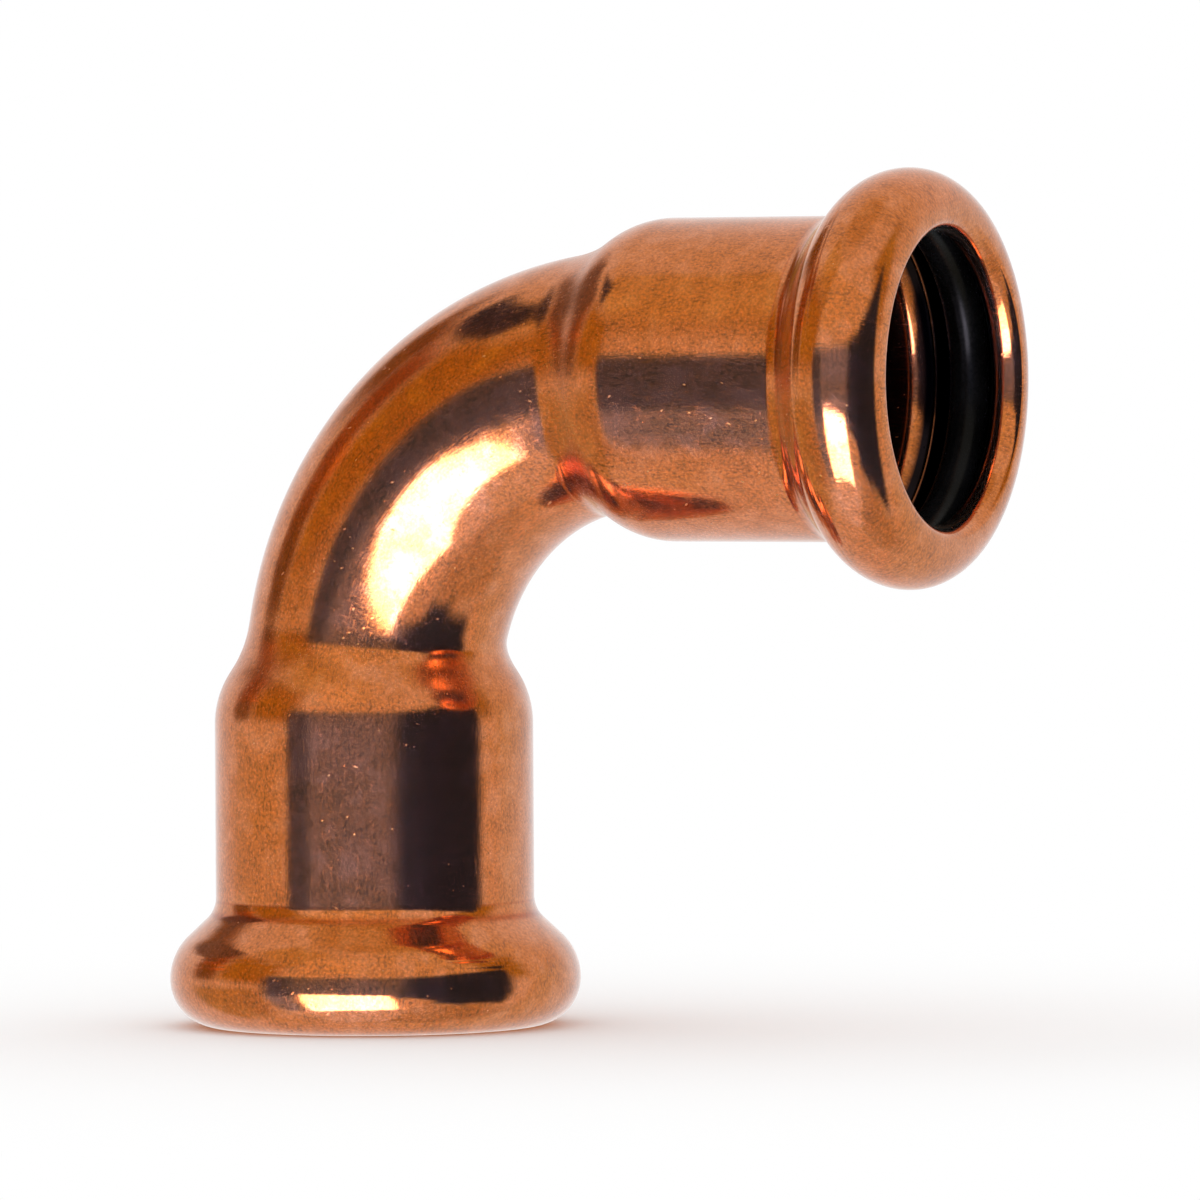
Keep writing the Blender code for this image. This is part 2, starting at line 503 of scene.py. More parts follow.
    def material(self) -> bpy.types.Material:
        """The copper, as a material.

        Returns:
            The material.
        """
        made, board = new_material("formed_copper")
        inside = board.attribute("inside")
        patch = board.noise(board.place(), self.patch, 3.0, 0.6)
        grain = board.noise(board.place(), self.mottle, 2.0, 0.6)
        streaks = self.drawn(board, self.streak_length, self.streak_width)
        nicks = self.nicks(board)
        roughness = (patch - 0.5) * self.roughness_range + self.roughness
        roughness = roughness + streaks.step(*self.streak_edges) * self.streak_roughness
        roughness = roughness + nicks * self.nick_roughness
        rubs = self.drawn(board, self.rub_width, self.rub_length).step(*self.rub_edges)
        roughness = roughness + board.attribute("rubbed") * self.rubbed_roughness + rubs * self.rub_roughness
        values = {
            "Base Color": self.colour(board, patch, grain, inside),
            "Metallic": 1.0,
            "Roughness": roughness + inside * self.inner_roughness,
            "Coat Weight": (1.0 - board.attribute("painted_shade")) * self.haze,
            "Coat Roughness": self.haze_roughness,
            "Normal": board.bump(self.height(board, streaks, grain, nicks)),
        }
        board.surface(board.node("ShaderNodeBsdfPrincipled", None, values))
        return made


@dataclass(frozen=True)
class RubberFinish:
    """Black moulded rubber, dull, with a fine grain."""

    dark: tuple = (0.003, 0.003, 0.003, 1.0)
    bloom: tuple = (0.007, 0.007, 0.008, 1.0)
    sheen: tuple = (1.0, 0.92, 0.78, 1.0)
    roughness: float = 0.28
    gloss: float = 0.09
    roughness_range: float = 0.2
    bloom_size: float = 4.0 * MILLIMETRE
    bloom_edges: tuple = (0.4, 0.7)
    grain: float = 0.4 * MILLIMETRE
    grain_height: float = 4.0 * MICROMETRE

    def material(self) -> bpy.types.Material:
        """The rubber, as a material.

        Returns:
            The material.
        """
        made, board = new_material("seal_rubber")
        grain = board.noise(board.place(), self.grain, 3.0)
        patch = board.noise(board.place(), self.bloom_size, 2.0)
        values = {
            "Base Color": board.colours(patch.step(*self.bloom_edges), self.dark, self.bloom),
            "Roughness": (grain - 0.5) * self.roughness_range + self.roughness,
            "Specular IOR Level": self.gloss,
            "Specular Tint": self.sheen,
            "Normal": board.bump(grain * self.grain_height),
        }
        board.surface(board.node("ShaderNodeBsdfPrincipled", None, values))
        return made


# The bent tube


@dataclass(frozen=True)
class RollerMark:
    """A faint ring pressed by the forming roller: a ridge, or a groove where its height is below 0.

    It falls off as e to the power of minus the square of the distance in widths. On the outer
    skin its stain is how much painted amber reflection, copper mirrored in copper in the crease,
    it has in its middle; on the inner skin it is how much of the painted black shade it clears.
    """

    depth: float
    height: float
    width: float
    stain_and_reflection: float

    def share(self, depth: np.ndarray) -> np.ndarray:
        """How much of the mark there is at each depth."""
        return np.exp(-(((depth - self.depth) / self.width) ** 2))


@dataclass
class ElbowBody:
    """One length of tube: a quarter bend whose two ends are widened, beaded and rolled in.

    The half from the lower mouth to the middle of the bend is worked out, and the other half is
    its mirror image. The reach is the length of one leg, from the mouth to the far axis.
    """

    crown_radius: float
    reach: float
    wall: float = 1.25 * MILLIMETRE
    bead_wall: float = 1.0 * MILLIMETRE
    socket_radius: float = 12.4 * MILLIMETRE
    tube_radius: float = 10.0 * MILLIMETRE
    mouth_arc: float = 3.7 * MILLIMETRE
    flank_arc: float = 4.6 * MILLIMETRE
    flank_angle: float = radians(47.0)
    flank_fillet: float = 2.4 * MILLIMETRE
    socket_corner: float = 2.0 * MILLIMETRE
    lip_bore: float = 11.15 * MILLIMETRE
    lip_depth: float = 2.3 * MILLIMETRE
    lip_front: float = 1.13 * MILLIMETRE
    lip_back: float = 0.3 * MILLIMETRE
    groove_end: float = 8.1 * MILLIMETRE
    rub: float = 28.0 * MILLIMETRE
    rub_width: float = 2.6 * MILLIMETRE
    socket_depth: float = 23.5 * MILLIMETRE
    shoulder_arc: float = 7.4 * MILLIMETRE
    shoulder_angle: float = radians(36.0)
    shoulder_fillet: float = 5.4 * MILLIMETRE
    bend_radius: float = 23.9 * MILLIMETRE
    # the last two marks lie in the crease where the bead meets the barrel and carry a painted amber
    # reflection
    marks: tuple = (
        RollerMark(5.15 * MILLIMETRE, -0.009 * MILLIMETRE, 0.13 * MILLIMETRE, 0.0),
        RollerMark(5.75 * MILLIMETRE, -0.006 * MILLIMETRE, 0.10 * MILLIMETRE, 0.0),
        RollerMark(8.42 * MILLIMETRE, 0.006 * MILLIMETRE, 0.08 * MILLIMETRE, 0.0),
        RollerMark(8.78 * MILLIMETRE, -0.010 * MILLIMETRE, 0.26 * MILLIMETRE, 0.80),
        RollerMark(9.80 * MILLIMETRE, -0.002 * MILLIMETRE, 0.10 * MILLIMETRE, 0.40),
    )
    inner_marks: tuple = (
        RollerMark(6.45 * MILLIMETRE, 0.020 * MILLIMETRE, 0.06 * MILLIMETRE, 0.5),
        RollerMark(7.60 * MILLIMETRE, 0.020 * MILLIMETRE, 0.06 * MILLIMETRE, 0.5),
    )
    run_out: float = 0.8 * MILLIMETRE
    sides: int = 180
    arc_steps: int = 300
    lip_steps: int = 20
    lip_back_steps: int = 6
    # painted shade in the groove and deep in the tube
    painted_shade_steps: int = 3
    painted_shade_edge: float = 0.4 * MILLIMETRE
    tube_painted_shade: float = 0.8
    outer_spacing: float = 0.24 * MILLIMETRE
    inner_spacing: float = 0.4 * MILLIMETRE
    snap: float = 0.02 * MILLIMETRE
    mark_reach: float = 2.5
    mark_points: int = 13
    outer_rows: tuple = (8, 34, 28)
    inner_rows: tuple = (4, 16, 12)
    blend_passes: int = 12

    def __post_init__(self) -> None:
        """Work out the angles of a ring's points and the straight run before the bend."""
        self.angles = np.linspace(0.0, 2.0 * pi, self.sides, endpoint=False)
        self.straight = self.reach - self.bend_radius
        self.middle = self.straight + self.bend_radius * pi / 4.0

    def section(self, wall: float, barrel_radius: float, hollow: float) -> np.ndarray:
        """Fine section of one skin from the mouth to the barrel.

        A quarter arc from the mouth to the crown, an arc over the flank, a straight slope, a
        hollow arc and the barrel's start.

        Args:
            wall: how deep this skin lies under the outside.
            barrel_radius: this skin's radius on the barrel.
            hollow: the hollow arc's radius.

        Returns:
            Depth and radius, one row for each point.
        """
        slope = self.flank_angle
        mouth_centre = (self.mouth_arc, self.crown_radius - self.mouth_arc)
        flank_centre = (self.mouth_arc, self.crown_radius - self.flank_arc)
        mouth = arc(mouth_centre, self.mouth_arc - wall, -pi / 2.0, 0.0, self.arc_steps)
        flank = arc(flank_centre, self.flank_arc - wall, 0.0, slope, self.arc_steps)
        drop = flank[-1, 1] - barrel_radius - hollow * (1.0 - cos(slope))
        barrel_start = flank[-1, 0] + drop / tan(slope) + hollow * sin(slope)
        corner = arc((barrel_start, barrel_radius + hollow), -hollow, slope, 0.0, self.arc_steps)
        return np.concatenate([mouth, flank[1:], corner, [(barrel_start + self.run_out, barrel_radius)]])

    def spaced(self, section: np.ndarray, spacing: float, marks: tuple) -> np.ndarray:
        """Points along a fine section at a spacing, closer together across each mark.

        Args:
            section: depth and radius, one row for each point.
            spacing: the distance between points.
            marks: the roller marks to press in.

        Returns:
            The spaced points, moved in or out by the marks.
        """
        along = lengths(section)
        places = [np.linspace(0.0, along[-1], int(along[-1] / spacing) + 2)]
        for mark in marks:
            spread = np.linspace(-self.mark_reach, self.mark_reach, self.mark_points)
            across = mark.depth + mark.width * spread
            places.append(np.interp(across, section[:, 0], along))
        kept = np.unique(np.round(np.concatenate(places) / self.snap)) * self.snap
        depth = np.interp(kept, along, section[:, 0])
        radius = np.interp(kept, along, section[:, 1])
        for mark in marks:
            radius = radius + mark.height * mark.share(depth)
        return np.stack([depth, radius], axis=1)

    def lip(self) -> np.ndarray:
        """Rounded end of the rolled-in wall, from its front face to its face in the groove.

        The front is a quarter of an ellipse, longer along the axis than it is high, and the
        back is a quarter of a circle.

        Returns:
            Depth and radius, one row for each point.
        """
        front_length = self.lip_depth - self.lip_back
        turn = np.linspace(0.0, pi / 2.0, self.lip_steps)
        depth = front_length * (1.0 - np.cos(turn))
        radius = self.lip_bore + self.lip_front * (1.0 - np.sin(turn))
        centre = (front_length, self.lip_bore + self.lip_back)
        back = arc(centre, self.lip_back, pi, pi / 2.0, self.lip_back_steps)
        return np.concatenate([np.stack([depth, radius], axis=1), back[1:]])

    def turned(self, profile: np.ndarray) -> np.ndarray:
        """Rings about the socket's axis: radius times cosine, radius times sine, depth.

        Args:
            profile: depth and radius, one row for each ring.

        Returns:
            One ring of points for each row.
        """
        depth, radius = profile[:, :1], profile[:, 1:]
        flat = np.broadcast_to(depth, (len(profile), self.sides))
        return np.stack([radius * np.cos(self.angles), radius * np.sin(self.angles), flat], axis=2)

    def shoulder_radius(self, depth: np.ndarray, offset: float) -> np.ndarray:
        """Radius of the widened end past the barrel: an arc, then a cone down from it.

        Args:
            depth: how far behind the mouth.
            offset: how deep the skin lies under the outside.

        Returns:
            The radius at each depth.
        """
        size = self.shoulder_arc - offset
        past_barrel = np.maximum(depth - self.socket_depth, 0.0)
        on_arc = np.minimum(past_barrel, size * sin(self.shoulder_angle))
        drop = size - np.sqrt(size * size - on_arc * on_arc)
        return self.socket_radius - offset - drop - (past_barrel - on_arc) * tan(self.shoulder_angle)

    def carried(self, run: np.ndarray, reach: np.ndarray) -> np.ndarray:
        """Points at a run along the centreline and a reach from it.

        The centreline goes straight up, then round a circle of the bend's radius. The reach is
        laid off square to it, toward the bend's middle at angle 0 and along +Y at a quarter turn.

        Args:
            run: how far along the centreline.
            reach: how far from it.

        Returns:
            One ring of points for each run.
        """
        turn = np.maximum(run - self.straight, 0.0) / self.bend_radius
        centre_x = self.bend_radius * (1.0 - np.cos(turn))
        centre_z = np.minimum(run, self.straight) + self.bend_radius * np.sin(turn)
        inward = reach * np.cos(self.angles)
        x = centre_x + inward * np.cos(turn)
        z = centre_z - inward * np.sin(turn)
        return np.stack([x, reach * np.sin(self.angles), z], axis=2)

    def bent(self, run: np.ndarray, offset: float) -> np.ndarray:
        """Rings square to the centreline, from the barrel to the middle of the bend.

        Each point reaches to the tube or to the shoulder, whichever is farther, with a fillet
        between them. The shoulder is turned about the socket's straight axis, so the reach to
        it is found by stepping toward it.

        Args:
            run: how far along the centreline each ring is.
            offset: how deep the skin lies under the outside.

        Returns:
            One ring of points for each run.
        """
        column = run[:, None]
        tube = self.tube_radius - offset
        reach = np.full((len(run), self.sides), tube)
        for _ in range(self.blend_passes):
            points = self.carried(column, reach)
            gap = self.shoulder_radius(points[..., 2], offset) - np.hypot(points[..., 0], points[..., 1])
            reach = np.clip(reach + gap, 0.0, self.socket_radius)
        blend = (self.shoulder_fillet + offset) * tan(self.shoulder_angle) * tan(self.shoulder_angle / 2.0)
        near = np.maximum(blend - np.abs(reach - tube), 0.0)
        return self.carried(column, np.maximum(reach, tube) + near * near / (4.0 * blend))

    def mirrored(self, points: np.ndarray) -> np.ndarray:
        """Points reflected across the plane that halves the bend, which swaps the two legs.

        Args:
            points: places, whose last axis is x, y and z.

        Returns:
            The reflected points.
        """
        x, y, z = points[..., 0], points[..., 1], points[..., 2]
        return np.stack([self.reach - z, y, self.reach - x], axis=-1)

    def half_skin(self, profile: np.ndarray, offset: float, rows: tuple) -> tuple[np.ndarray, np.ndarray]:
        """Rings of one skin from the mouth to the middle of the bend.

        Args:
            profile: its section from the mouth to the barrel.
            offset: how deep it lies under the outside of the barrel and the bend.
            rows: how many rings the barrel, the shoulder and the bend have.

        Returns:
            The rings, and how far from the mouth each one is.
        """
        barrel = np.linspace(profile[-1, 0], self.socket_depth, rows[0] + 2)[1:-1]
        level = np.full_like(barrel, self.socket_radius - offset)
        profile = np.concatenate([profile, np.stack([barrel, level], axis=1)])
        shoulder_end = self.socket_depth + self.shoulder_arc + self.flank_fillet
        shoulder = np.linspace(self.socket_depth, shoulder_end, rows[1])
        run = np.concatenate([shoulder, np.linspace(shoulder_end, self.middle, rows[2] + 1)[1:]])
        rings = np.concatenate([self.turned(profile), self.bent(run, offset)])
        return rings, np.concatenate([profile[:, 0], run])

    def painted_crease_reflection(self, run: np.ndarray) -> np.ndarray:
        """Painted reflection: how much amber, copper mirrored in copper, is painted in the crease at each
        ring of the outer skin.
        """
        return sum(mark.stain_and_reflection * mark.share(run) for mark in self.marks)

    def rubbed(self, run: np.ndarray) -> np.ndarray:
        """How dull the outer skin is at each ring: most on the shoulder, which the die rubbed."""
        return np.exp(-(((run - self.rub) / self.rub_width) ** 2))

    def painted_shade(self, run: np.ndarray) -> np.ndarray:
        """Painted shade: how black the inner skin is painted at each ring, wholly in the groove and more
        deep in the tube.

        The groove starts where the lip is narrowest, and its own marks are less black.

        Args:
            run: how far from the mouth each ring is.

        Returns:
            0 where it is left bare, 1 where it is painted black.
        """
        behind_lip = smooth(np.arange(len(run)), self.lip_steps - self.painted_shade_steps, self.lip_steps)
        groove = behind_lip * (1.0 - smooth(run, self.groove_end, self.groove_end + self.painted_shade_edge))
        groove = groove * (1.0 - sum(mark.stain_and_reflection * mark.share(run) for mark in self.inner_marks))
        deep = smooth(run, self.socket_depth / 2.0, self.socket_depth)
        return np.maximum(groove, self.tube_painted_shade * deep)

    def build(self) -> bpy.types.Object:
        """The tube's outer skin, the upper lip, the inner skin and the lower lip, as one mesh.

        Returns:
            The object.
        """
        fine = self.section(0.0, self.socket_radius, self.flank_fillet)
        profile = self.spaced(fine, self.outer_spacing, self.marks)
        outer, outer_run = self.half_skin(profile, 0.0, self.outer_rows)
        fine = self.section(self.bead_wall, self.socket_radius - self.wall, self.socket_corner)
        profile = self.spaced(fine, self.inner_spacing, self.inner_marks)
        profile = np.concatenate([self.lip(), profile])
        inner, inner_run = self.half_skin(profile, self.wall, self.inner_rows)
        halves = (outer, self.mirrored(outer[-2::-1]), self.mirrored(inner), inner[-2::-1])
        points = np.concatenate(halves)
        outer_zero, inner_zero = np.zeros(len(outer)), np.zeros(len(inner))
        shares = {
            "inside": (outer_zero, smooth(inner_run, self.lip_front, self.lip_depth)),
            # painted amber reflection in the crease where each bead meets its barrel
            "stain_and_reflection": (self.painted_crease_reflection(outer_run), inner_zero),
            # painted shade, black in the grooves and deep in the tube
            "painted_shade": (outer_zero, self.painted_shade(inner_run)),
            "rubbed": (self.rubbed(outer_run), inner_zero),
        }
        along = lengths(points[:, self.sides // 4])
        x = np.broadcast_to(self.socket_radius * np.cos(self.angles), points.shape[:2])
        y = np.broadcast_to(self.socket_radius * np.sin(self.angles), points.shape[:2])
        numbers = {"flow": np.stack([x, y, np.broadcast_to(along[:, None], x.shape)], axis=2)}
        for title, (out, back) in shares.items():
            rings = np.concatenate([out, out[-2::-1], back, back[-2::-1]])
            numbers[title] = np.repeat(rings, self.sides)
        return add_object("formed_elbow", points, grid_faces(len(points), self.sides, True), numbers)

    def dress(self, item: bpy.types.Object, finish: CopperFinish) -> None:
        """Give the tube its copper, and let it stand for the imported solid.

        Args:
            item: the tube's object.
            finish: its copper.
        """
        item.data.materials.append(finish.material())
        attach(item, "root")
        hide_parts("elbow_body")


# The seal rings


@dataclass
class SealRings:
    """The two rubber rings, each with a fine moulding line round its middle, inside and out."""

    section: float = 3.1 * MILLIMETRE
    flash: float = 0.04 * MILLIMETRE
    flash_width: float = 0.08
    sides: int = 180
    section_sides: int = 72

    def build(self, end: End) -> bpy.types.Object:
        """A ring in its groove: a circle of the section's size, turned about the socket's axis.

        The section's radius is half its size less the flash, and the flash comes back close to
        the parting plane, as e to the power of minus the square of the distance from it.

        Args:
            end: the end that it sits in.

        Returns:
            The object.
        """
        low, high = (np.array(corner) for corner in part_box(f"seal_ring_{end.value}"))
        around = np.linspace(0.0, 2.0 * pi, self.sides, endpoint=False)
        about = np.linspace(0.0, 2.0 * pi, self.section_sides, endpoint=False)[:, None]
        rim = np.exp(-((np.sin(about) / self.flash_width) ** 2))
        size = self.section / 2.0 - self.flash + self.flash * rim
        radius = (high - low)[1] / 2.0 - self.section / 2.0 + size * np.cos(about)
        along = np.broadcast_to(size * np.sin(about), (self.section_sides, self.sides))
        x, y = radius * np.cos(around), radius * np.sin(around)
        placed = (along, y, -x) if end is End.UPPER else (x, y, along)
        points = np.stack(placed, axis=2) + (low + high) / 2.0
        faces = grid_faces(self.section_sides, self.sides, True)
        return add_object(f"seal_{end.value}", points, faces, {})

    def dress(self, item: bpy.types.Object, end: End, material: bpy.types.Material) -> None:
        """Give a ring its rubber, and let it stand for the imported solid.

        Args:
            item: the ring's object.
            end: the end that it sits in.
            material: its rubber.
        """
        item.data.materials.append(material)
        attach(item, "root")
        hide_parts(f"seal_ring_{end.value}")


# The view


@dataclass(frozen=True)
class PhotographView:
    """A long lens at the photograph's place, found from the elbow's outline.

    The corner is where the two axes of the elbow cross. Its place in the picture, the scale
    there and the distance to it say where the camera stands.
    """

    corner: tuple
    azimuth: float = radians(27.337)
    elevation: float = radians(1.486)
    roll: float = radians(-0.326)
    distance: float = 0.772863
    pixels_per_metre: float = 12850.0
    corner_pixel: tuple = (371.88, 380.74)
    frame_pixels: float = 1200.0
    sensor: float = 36.0

    def axes(self) -> np.ndarray:
        """The camera's right, forward and up, as the rows of a matrix.

        Returns:
            A matrix of three rows.
        """
        c, s = cos(self.azimuth), sin(self.azimuth)
        turn = np.array([[c, s, 0.0], [-s, c, 0.0], [0.0, 0.0, 1.0]])
        c, s = cos(self.elevation), sin(self.elevation)
        tip = np.array([[1.0, 0.0, 0.0], [0.0, c, -s], [0.0, s, c]])
        c, s = cos(self.roll), sin(self.roll)
        lean = np.array([[c, 0.0, s], [0.0, 1.0, 0.0], [-s, 0.0, c]])
        return lean @ tip @ turn

    def build(self) -> bpy.types.Object:
        """The camera, which becomes the scene's own.

        Returns:
            The camera.
        """
        axes = self.axes()
        middle = self.frame_pixels / 2.0
        aside = (self.corner_pixel[0] - middle) / self.pixels_per_metre
        above = (middle - self.corner_pixel[1]) / self.pixels_per_metre
        place = axes.T @ np.array([-aside, -self.distance, -above]) + np.array(self.corner)
        lens = bpy.data.cameras.new("camera")
        lens.sensor_width = self.sensor
        lens.lens = self.sensor * self.pixels_per_metre * self.distance / self.frame_pixels
        camera = bpy.data.objects.new("camera", lens)
        bpy.context.scene.collection.objects.link(camera)
        right, forward, up = axes
        stand = np.eye(4)
        stand[:3, :3] = np.stack([right, up, -forward], axis=1)
        stand[:3, 3] = place
        camera.matrix_world = Matrix(stand.tolist())
        bpy.context.scene.camera = camera
        return camera


# The studio


@dataclass(frozen=True)
class Card:
    """A card or lamp in the white tent, as the copper mirrors it.

    Each corner is an azimuth, 0 toward the camera and growing to the picture's right, and an
    elevation, both in degrees from the elbow's middle. The corners go round from the low left
    one to the low right one. A level of 1 is the tent's white. Nearer cards hide farther ones.

    Attributes:
        name: the card's name.
        corners: its four corners.
        level: how bright it is.
        tint: its colour at that level.
        soft: how far its edges fade, in degrees.
        distance: how far off it is, in metres.
        again: how much brighter it is to light that was mirrored before.
        side_soft: how far its left and right edges fade, where that isn't the softness.
        window: where it shows only on part of the elbow, the least and the most by which a
            ray's length falls short of the distance, in metres.
        steps: points along each side of its grid.
    """

    name: str
    corners: tuple
    level: float
    tint: tuple = (1.0, 1.0, 1.0)
    soft: float = 2.0
    distance: float = 1.0
    again: float = 1.0
    side_soft: float = 0.0
    window: tuple = ()
    steps: int = 40

    def build(self, middle: np.ndarray, axes: np.ndarray) -> bpy.types.Object:
        """A patch of a sphere round the elbow, which mirrored rays alone see.

        The angles are blended between the four corners by u and v. The patch goes on past them
        by the softness, and its light fades to nothing over twice the softness.

        Args:
            middle: the elbow's middle.
            axes: the camera's right, forward and up.

        Returns:
            The object.
        """
        corners = np.array(self.corners)
        low_left, low_right, high_right, high_left = corners
        sides = np.linalg.norm(np.roll(corners, -1, axis=0) - corners, axis=1)
        spans = (sides[:2] + sides[2:]) / 2.0
        soft = np.array([self.side_soft or self.soft, self.soft])
        past = soft / spans
        u = np.linspace(-past[0], 1.0 + past[0], self.steps)[:, None]
        v = np.linspace(-past[1], 1.0 + past[1], self.steps)[None, :]
        across = np.minimum(u + past[0], 1.0 + past[0] - u) * spans[0]
        upward = np.minimum(v + past[1], 1.0 + past[1] - v) * spans[1]
        fade = smooth(across, 0.0, 2.0 * soft[0]) * smooth(upward, 0.0, 2.0 * soft[1])
        u, v = u[..., None], v[..., None]
        low = (1.0 - u) * low_left + u * low_right
        high = (1.0 - u) * high_left + u * high_right
        azimuth, elevation = np.moveaxis(np.radians((1.0 - v) * low + v * high), -1, 0)
        right = np.sin(azimuth) * np.cos(elevation)
        forward = -np.cos(azimuth) * np.cos(elevation)
        points = np.stack([right, forward, np.sin(elevation)], axis=2) @ axes * self.distance + middle
        item = add_object(self.name, points, grid_faces(self.steps, self.steps, False), {"fade": fade})
        item.data.materials.append(self.material())
        item.visible_camera = False
        item.visible_diffuse = False
        item.visible_shadow = False
        return item

    def material(self) -> bpy.types.Material:
        """Light of the card's level, clear where it fades and to light that the floor scattered.

        Light that was mirrored before meets a second emission, with a level and tint of its own.

        Returns:
            The material.
        """
        made, board = new_material(self.name)
        made.cycles.emission_sampling = "NONE"
        path = board.node("ShaderNodeLightPath")
        unscattered = board.math("LESS_THAN", Signal(board, path.outputs["Diffuse Depth"]), FIRST_SCATTER)
        shown = board.attribute("fade") * unscattered
        if self.window:
            least, most = self.window
            closer = self.distance - Signal(board, path.outputs["Ray Length"])
            shown = shown * closer.step(least - WINDOW_EDGE, least + WINDOW_EDGE)
            shown = shown * closer.step(most + WINDOW_EDGE, most - WINDOW_EDGE)
        values = {"Color": (*self.tint, 1.0), "Strength": self.level}
        light = board.node("ShaderNodeEmission", None, values)
        tint = tuple(part * more for part, more in zip(self.tint, TWICE_MIRRORED))
        values = {"Color": (*tint, 1.0), "Strength": self.level * self.again}
        second = board.node("ShaderNodeEmission", None, values)
        light = board.mixed(board.twice_mirrored(path), light, second)
        clear = board.node("ShaderNodeBsdfTransparent")
        board.surface(board.mixed(shown, clear, light))
        return made


@dataclass
class Studio:
    """A white tent over a white floor, with a lamp below the camera and dark round it."""

    middle: np.ndarray
    axes: np.ndarray
    white: tuple = (1.0, 1.0, 1.0, 1.0)
    twice_white: tuple = (1.05, 1.0, 0.75, 1.0)
    floor_size: float = 6.0
    near: float = 0.045
    far: float = 0.12
    cards: tuple = (
        Card("tent_top", ((-180.0, 71.0), (180.0, 71.0), (180.0, 100.0), (-180.0, 100.0)),
             level=0.83, tint=(1.0, 0.87, 0.52), soft=6.0, distance=1.95),
        Card("high_gold", ((-98.0, 48.0), (-50.0, 30.0), (-40.0, 64.0), (-98.0, 66.0)),
             level=0.86, tint=(1.0, 0.87, 0.4), soft=7.0, distance=1.9),
        Card("tent_high", ((-52.0, 26.0), (-4.0, 26.0), (-4.0, 56.0), (-48.0, 56.0)),
             level=1.1, tint=(1.0, 0.97, 0.84), soft=6.0, distance=1.8),
        Card("left_low", ((-122.0, -52.0), (-66.0, -50.0), (-66.0, -5.0), (-122.0, -5.0)),
             level=0.73, tint=(1.0, 0.84, 0.36), soft=6.0, distance=1.75),
        Card("left_side", ((-102.0, 4.0), (-60.0, 2.0), (-58.0, 36.0), (-98.0, 42.0)),
             level=0.6, tint=(1.0, 0.66, 0.02), soft=7.0, distance=1.7),
        Card("left_band", ((-123.0, 5.0), (-103.0, 6.0), (-100.0, 38.0), (-126.0, 40.0)),
             level=0.41, tint=(1.0, 0.38, 0.0), soft=5.0, distance=1.65),
        Card("left_spark", ((-106.0, 17.0), (-98.0, 18.0), (-98.0, 21.0), (-106.0, 22.0)),
             level=0.93, tint=(1.0, 0.45, 0.05), soft=2.0, distance=1.62),
        Card("left_dark", ((-121.0, 2.0), (-103.0, 3.0), (-103.0, 14.0), (-121.0, 15.0)),
             level=0.28, tint=(1.0, 0.55, 0.0), soft=5.0, distance=1.6),
        Card("right_high", ((78.0, 8.0), (98.0, 8.0), (98.0, 40.0), (60.0, 40.0)),
             level=0.62, tint=(1.0, 0.75, 0.07), soft=7.0, distance=1.65),
        Card("right_far", ((100.0, -60.0), (165.0, -60.0), (165.0, 16.0), (106.0, 12.0)),
             level=0.98, tint=(1.0, 1.1, 1.18), soft=7.0, distance=1.85),
        Card("tent_low", ((-70.0, -86.0), (25.0, -86.0), (25.0, -46.0), (-70.0, -46.0)),
             level=1.1, tint=(1.0, 1.1, 1.44), soft=8.0, distance=1.6),
        Card("right_low", ((35.0, -86.0), (112.0, -80.0), (106.0, -38.0), (35.0, -38.0)),
             level=0.74, tint=(1.0, 0.94, 0.75), soft=8.0, distance=1.6),
        Card("high_tail", ((-150.0, 19.0), (-124.0, 27.0), (-124.0, 41.0), (-150.0, 39.0)),
             level=0.32, tint=(1.0, 0.45, 0.0), soft=5.0, distance=1.55),
        Card("high_strip", ((-130.0, 41.5), (-84.0, 39.5), (-86.0, 56.0), (-136.0, 48.0)),
             level=0.054, tint=(1.0, 0.8, 1.6), soft=1.8, distance=1.5, window=(0.0135, 0.1)),
        Card("high_dark", ((-146.0, 20.0), (-116.0, 20.0), (-100.0, 42.0), (-140.0, 45.0)),
             level=0.24, tint=(1.0, 0.65, 0.4), soft=3.0, distance=1.52, window=(-0.001, 0.0115)),
        Card("dark_middle", ((-63.0, -22.0), (34.0, -25.0), (34.0, 17.0), (-63.0, 15.0)),
             level=0.288, tint=(1.0, 1.25, 2.2), soft=3.0, distance=1.4),
        Card("dark_edge", ((14.0, -20.0), (60.0, -42.0), (60.0, 20.0), (18.0, 17.0)),
             level=0.032, tint=(1.0, 1.3, 3.6), soft=3.0, distance=1.35, again=3.0, side_soft=8.0),
        Card("dark_right", ((36.0, -38.0), (87.0, -34.0), (82.0, 27.0), (40.0, 20.0)),
             level=0.026, tint=(1.0, 1.3, 3.4), soft=4.0, distance=1.3, again=4.0),
        Card("dark_low_left", ((-65.0, -50.0), (-50.0, -50.0), (-50.0, -18.0), (-65.0, -18.0)),
             level=0.348, tint=(1.0, 1.33, 2.7), soft=3.5, distance=1.2),
        Card("dark_left", ((-65.0, -19.0), (-48.0, -18.0), (-49.0, 14.0), (-65.0, 13.0)),
             level=0.108, tint=(1.0, 1.25, 2.5), soft=4.0, distance=1.1),
        Card("soft_lamp", ((-46.0, -53.0), (16.0, -53.0), (8.0, -19.5), (-43.0, -15.5)),
             level=13.0, tint=(1.0, 1.0, 1.4), soft=2.2, distance=1.0, again=0.45),
    )

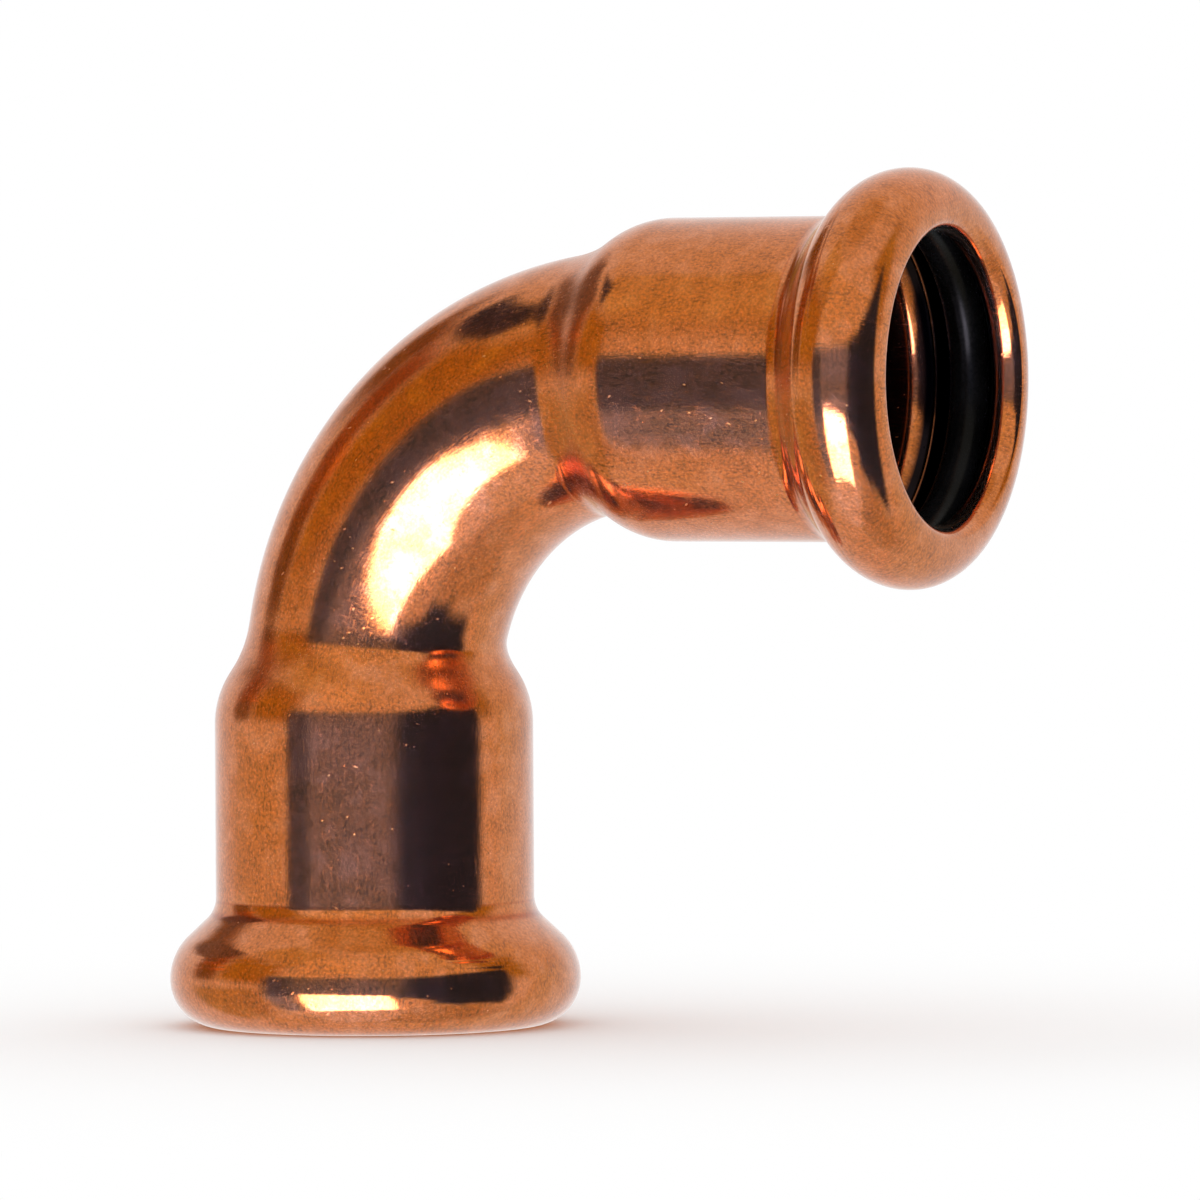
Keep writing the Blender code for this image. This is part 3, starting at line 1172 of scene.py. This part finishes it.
    def world(self) -> None:
        """The tent: even white light from all round, a little warmer once it is mirrored twice."""
        world = bpy.data.worlds.new("tent")
        world.use_nodes = True
        bpy.context.scene.world = world
        board = Board(world.node_tree)
        path = board.node("ShaderNodeLightPath")
        plain = board.node("ShaderNodeBackground", None, {"Color": self.white, "Strength": 1.0})
        second = board.node("ShaderNodeBackground", None, {"Color": self.twice_white, "Strength": 1.0})
        tent = board.mixed(board.twice_mirrored(path), plain, second)
        board.surface(tent, "ShaderNodeOutputWorld")

    def floor(self) -> bpy.types.Object:
        """A white floor that takes the shadow near the elbow and is plain white farther off.

        Returns:
            The object.
        """
        half = self.floor_size / 2.0
        corners = np.array([(-half, -half, 0.0), (half, -half, 0.0), (half, half, 0.0), (-half, half, 0.0)])
        item = add_object("floor", corners, np.array([(0, 1, 2, 3)]), {})
        made, board = new_material("floor_white")
        values = {0: board.place(), 1: tuple(self.middle * (1.0, 1.0, 0.0))}
        away = board.node("ShaderNodeVectorMath", {"operation": "DISTANCE"}, values)
        fade = Signal(board, away.outputs["Value"]).step(self.near, self.far)
        pale = board.node("ShaderNodeBsdfDiffuse", None, {"Color": self.white})
        light = board.node("ShaderNodeEmission", None, {"Color": self.white, "Strength": 1.0})
        board.surface(board.mixed(fade, pale, light))
        item.data.materials.append(made)
        item.visible_glossy = False
        item.visible_shadow = False
        return item

    def build(self) -> None:
        """Set up the tent, the floor and every card."""
        bpy.context.scene.view_settings.view_transform = "Standard"
        self.world()
        self.floor()
        for card in self.cards:
            card.build(self.middle, self.axes)


def main() -> None:
    """Build each sub-assembly, the view and the studio."""
    logging.basicConfig(level=logging.INFO, format="%(name)s: %(message)s")
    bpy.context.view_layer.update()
    low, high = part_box("elbow_body")
    body = ElbowBody(crown_radius=high.y, reach=high.x)
    elbow = body.build()
    body.dress(elbow, CopperFinish())
    LOG.info("%s: %d faces", elbow.name, len(elbow.data.polygons))

    rings = SealRings()
    rubber = RubberFinish().material()
    for end in End:
        seal = rings.build(end)
        rings.dress(seal, end, rubber)
        LOG.info("%s: %d faces", seal.name, len(seal.data.polygons))

    view = PhotographView(corner=(0.0, 0.0, body.reach))
    view.build()
    middle = np.array((low + high) / 2.0)
    Studio(middle, view.axes()).build()
    LOG.info("camera and studio are in place")


if __name__ == "__main__":
    main()
